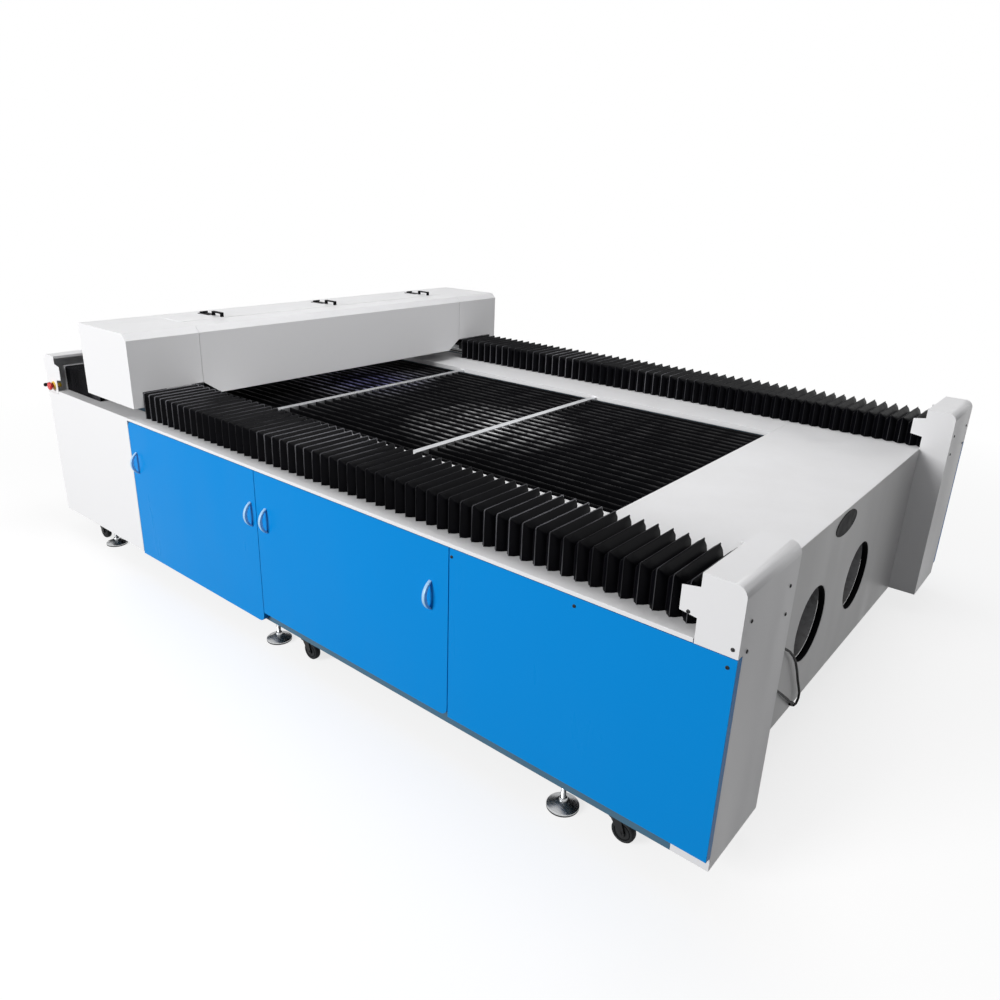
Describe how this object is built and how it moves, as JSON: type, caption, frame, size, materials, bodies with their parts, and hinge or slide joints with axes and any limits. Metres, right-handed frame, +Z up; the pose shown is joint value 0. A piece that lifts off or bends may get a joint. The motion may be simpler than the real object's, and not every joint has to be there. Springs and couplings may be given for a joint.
{
  "type": "flatbed gantry laser cutting machine",
  "caption": "Flatbed laser cutting machine with a moving gantry, bellows-covered guides, a knife-slat bed, lift-off side doors, exhaust ports and levelling feet.",
  "frame": {"origin": "on the floor, below the middle of the machine", "axes": "+X along the bed towards the exhaust end, +Y towards the back side with the fixed panels, +Z up"},
  "size_m": [3.489, 2.3744, 1.105],
  "materials": {
    "frame_paint": "satin grey enamel",
    "white_paint": "semi-gloss white powder coat",
    "panel_white": "semi-gloss pale grey powder coat",
    "blue_paint": "semi-gloss blue powder coat",
    "slat_steel": "blackened steel strip",
    "galvanised": "galvanised sheet",
    "aluminium": "anodised",
    "bright_steel": "ground",
    "black_metal": "black coated",
    "black_plastic": "moulded",
    "black_rubber": "moulded",
    "grey_rubber": "moulded tyre",
    "bellows_cloth": "coated cloth, folded",
    "white_plastic": "moulded",
    "yellow_plastic": "moulded",
    "red_plastic": "moulded",
    "tube_glass": "clear glass",
    "mirror_gold": "polished mounts"
  },
  "bodies": {
    "machine_frame": {"welded_frame": "frame_paint", "deck_plates": "white_paint", "bed_cross_beams": "aluminium", "knife_slats": "slat_steel", "chip_hopper": "galvanised", "exhaust_collars": "black_plastic", "end_panels": "panel_white", "blank_oval_plate": "black_plastic", "corner_towers": "white_paint", "front_fixed_panel": "blue_paint", "back_side_panels": "blue_paint", "white_side_covers": "white_paint", "cover_screws": "bright_steel", "x_guide_rails": "bright_steel", "x_belts": "black_rubber", "x_motors": "black_metal", "left_bellows": "bellows_cloth", "right_bellows": "bellows_cloth", "levelling_feet": "black_metal", "cable_loop": "black_rubber", "cable_glands": "black_plastic", "switch_bases": "yellow_plastic"},
    "gantry": {"gantry_beam": "aluminium", "gantry_cover": "white_paint", "gantry_end_covers": "white_paint", "end_carriages": "black_metal", "y_guide_rail": "bright_steel", "laser_tube": "tube_glass", "tube_mounts": "aluminium", "beam_mirrors": "mirror_gold", "y_belt": "black_rubber", "y_motor": "black_metal", "hatch_hinges": "black_metal"},
    "hatch": {"tube_hatch": "white_paint", "hatch_fittings": "black_plastic"},
    "head": {"head_carriage": "aluminium", "head_mirror": "mirror_gold"},
    "lens": {"lens_tube": "aluminium"},
    "head_drive_pulley": {"y_drive_pulley": "bright_steel"},
    "head_idler_pulley": {"y_idler_pulley": "bright_steel"},
    "gantry_drive_pulleys": {"x_drive_pulleys": "bright_steel"},
    "gantry_idler_pulleys": {"x_idler_pulleys": "bright_steel"},
    "stop_button": {"stop_button": "red_plastic"},
    "key_switch": {"key_switch": "black_metal"},
    "left_door": {"left_door": "blue_paint", "left_door_handles": "white_plastic"},
    "right_door": {"right_door": "blue_paint", "right_door_handles": "white_plastic"},
    "caster_fork_1": {"caster_fork_1": "black_metal"},
    "caster_wheel_1": {"caster_wheel_1": "grey_rubber"},
    "caster_fork_2": {"caster_fork_2": "black_metal"},
    "caster_wheel_2": {"caster_wheel_2": "grey_rubber"},
    "caster_fork_3": {"caster_fork_3": "black_metal"},
    "caster_wheel_3": {"caster_wheel_3": "grey_rubber"},
    "caster_fork_4": {"caster_fork_4": "black_metal"},
    "caster_wheel_4": {"caster_wheel_4": "grey_rubber"},
    "caster_fork_5": {"caster_fork_5": "black_metal"},
    "caster_wheel_5": {"caster_wheel_5": "grey_rubber"},
    "caster_fork_6": {"caster_fork_6": "black_metal"},
    "caster_wheel_6": {"caster_wheel_6": "grey_rubber"}
  },
  "joints": [
    {"name": "gantry_travel", "type": "slide", "parent": "machine_frame", "child": "gantry", "axis": [1, 0, 0], "range_m": [-0.15, 2.35], "deforming": ["left_bellows", "right_bellows"]},
    {"name": "head_travel", "type": "slide", "parent": "gantry", "child": "head", "axis": [0, 1, 0], "range_m": [-0.65, 0.65]},
    {"name": "lens_focus", "type": "slide", "parent": "head", "child": "lens", "axis": [0, 0, 1], "range_m": [-0.004, 0.012]},
    {"name": "hatch_hinge", "type": "hinge", "parent": "gantry", "child": "hatch", "pos_m": [-1.2195, 0, 1.0915], "axis": [0, -1, 0], "range_deg": [0, 100]},
    {"name": "head_drive_turn", "type": "hinge", "parent": "gantry", "child": "head_drive_pulley", "pos_m": [-1.256, -0.805, 0.985], "axis": [1, 0, 0], "continuous": true},
    {"name": "head_idler_turn", "type": "hinge", "parent": "gantry", "child": "head_idler_pulley", "pos_m": [-1.256, 0.805, 0.985], "axis": [1, 0, 0], "continuous": true},
    {"name": "gantry_drive_turn", "type": "hinge", "parent": "machine_frame", "child": "gantry_drive_pulleys", "pos_m": [1.689, 0, 0.77], "axis": [0, 1, 0], "continuous": true},
    {"name": "gantry_idler_turn", "type": "hinge", "parent": "machine_frame", "child": "gantry_idler_pulleys", "pos_m": [-1.689, 0, 0.77], "axis": [0, 1, 0], "continuous": true},
    {"name": "stop_button_press", "type": "slide", "parent": "machine_frame", "child": "stop_button", "axis": [0, 1, 0], "range_m": [0, 0.004]},
    {"name": "key_turn", "type": "hinge", "parent": "machine_frame", "child": "key_switch", "pos_m": [-1.717, -1.17, 0.744], "axis": [0, 1, 0], "range_deg": [0, 90]},
    {"name": "left_door_lift_off", "type": "slide", "parent": "machine_frame", "child": "left_door", "axis": [0, -1, 0], "range_m": [0, 0.3]},
    {"name": "right_door_lift_off", "type": "slide", "parent": "machine_frame", "child": "right_door", "axis": [0, -1, 0], "range_m": [0, 0.3]},
    {"name": "caster_swivel_1", "type": "hinge", "parent": "machine_frame", "child": "caster_fork_1", "pos_m": [1.463, -1.115, 0.09], "axis": [0, 0, 1], "continuous": true},
    {"name": "caster_roll_1", "type": "hinge", "parent": "caster_fork_1", "child": "caster_wheel_1", "pos_m": [1.488, -1.115, 0.039], "axis": [0, 1, 0], "continuous": true},
    {"name": "caster_swivel_2", "type": "hinge", "parent": "machine_frame", "child": "caster_fork_2", "pos_m": [0.122, -1.115, 0.09], "axis": [0, 0, 1], "continuous": true},
    {"name": "caster_roll_2", "type": "hinge", "parent": "caster_fork_2", "child": "caster_wheel_2", "pos_m": [0.147, -1.115, 0.039], "axis": [0, 1, 0], "continuous": true},
    {"name": "caster_swivel_3", "type": "hinge", "parent": "machine_frame", "child": "caster_fork_3", "pos_m": [-1.495, -1.115, 0.09], "axis": [0, 0, 1], "continuous": true},
    {"name": "caster_roll_3", "type": "hinge", "parent": "caster_fork_3", "child": "caster_wheel_3", "pos_m": [-1.47, -1.115, 0.039], "axis": [0, 1, 0], "continuous": true},
    {"name": "caster_swivel_4", "type": "hinge", "parent": "machine_frame", "child": "caster_fork_4", "pos_m": [1.463, 1.115, 0.09], "axis": [0, 0, 1], "continuous": true},
    {"name": "caster_roll_4", "type": "hinge", "parent": "caster_fork_4", "child": "caster_wheel_4", "pos_m": [1.488, 1.115, 0.039], "axis": [0, 1, 0], "continuous": true},
    {"name": "caster_swivel_5", "type": "hinge", "parent": "machine_frame", "child": "caster_fork_5", "pos_m": [0.122, 1.115, 0.09], "axis": [0, 0, 1], "continuous": true},
    {"name": "caster_roll_5", "type": "hinge", "parent": "caster_fork_5", "child": "caster_wheel_5", "pos_m": [0.147, 1.115, 0.039], "axis": [0, 1, 0], "continuous": true},
    {"name": "caster_swivel_6", "type": "hinge", "parent": "machine_frame", "child": "caster_fork_6", "pos_m": [-1.495, 1.115, 0.09], "axis": [0, 0, 1], "continuous": true},
    {"name": "caster_roll_6", "type": "hinge", "parent": "caster_fork_6", "child": "caster_wheel_6", "pos_m": [-1.47, 1.115, 0.039], "axis": [0, 1, 0], "continuous": true}
  ],
  "couplings": [
    {"joint": "gantry_drive_turn", "follows": "gantry_travel", "rad_per_m": 32.258},
    {"joint": "gantry_idler_turn", "follows": "gantry_travel", "rad_per_m": 32.258},
    {"joint": "head_drive_turn", "follows": "head_travel", "rad_per_m": 78.431},
    {"joint": "head_idler_turn", "follows": "head_travel", "rad_per_m": 78.431}
  ]
}
